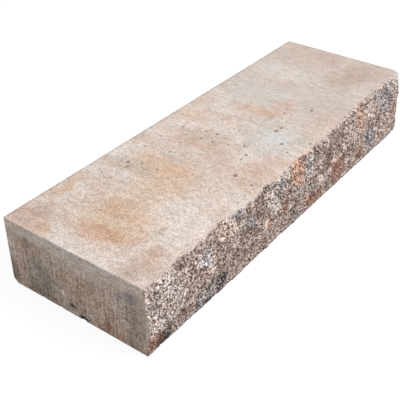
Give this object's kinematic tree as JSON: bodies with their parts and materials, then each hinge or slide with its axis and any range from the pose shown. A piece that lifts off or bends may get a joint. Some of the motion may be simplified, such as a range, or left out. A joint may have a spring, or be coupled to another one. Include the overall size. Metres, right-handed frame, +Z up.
{
  "type": "concrete block step",
  "caption": "Solid cast concrete block step with a smooth tread, back and ends and a rough split riser, laid one above another to make outdoor stairs.",
  "frame": {"origin": "under the middle of the block, on the bed that it stands on", "axes": "+X along the tread, +Y from the split riser to the back, +Z up"},
  "size_m": [1, 0.35, 0.15],
  "materials": {
    "concrete": "mottled sand, ochre and pale grey concrete, smooth on the tread and rough on the split riser"
  },
  "bodies": {
    "root": {"block_step": "concrete"}
  },
  "joints": []
}
